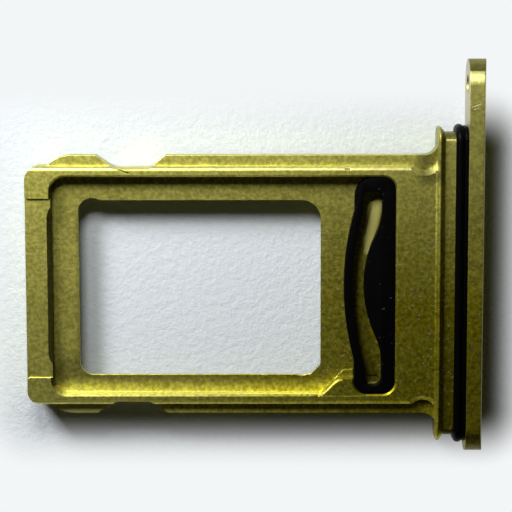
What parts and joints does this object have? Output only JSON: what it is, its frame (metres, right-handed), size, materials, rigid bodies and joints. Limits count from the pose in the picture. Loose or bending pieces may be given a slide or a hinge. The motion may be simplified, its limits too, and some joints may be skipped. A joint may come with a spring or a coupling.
{
  "type": "sim card tray",
  "caption": "Yellow anodised aluminium SIM card tray with a black seal ring, looped card springs, guide rails and a long face plate.",
  "frame": {"origin": "middle of the bounding box's bottom face, in line with the middle of the face plate's length", "axes": "+X from the rear end towards the face plate, +Y towards the end of the face plate with the ejector hole, +Z out of the card pocket that the picture shows"},
  "size_m": [0.0188, 0.0162, 0.0021],
  "materials": {
    "anodised_metal": "yellow anodised, bead blasted",
    "seal_rubber": "smooth, slightly glossy",
    "spring_rubber": "matte"
  },
  "bodies": {
    "root": {"tray_frame": "anodised_metal", "seal_ring": "seal_rubber", "front_card_spring": "spring_rubber", "back_card_spring": "spring_rubber"}
  },
  "joints": []
}
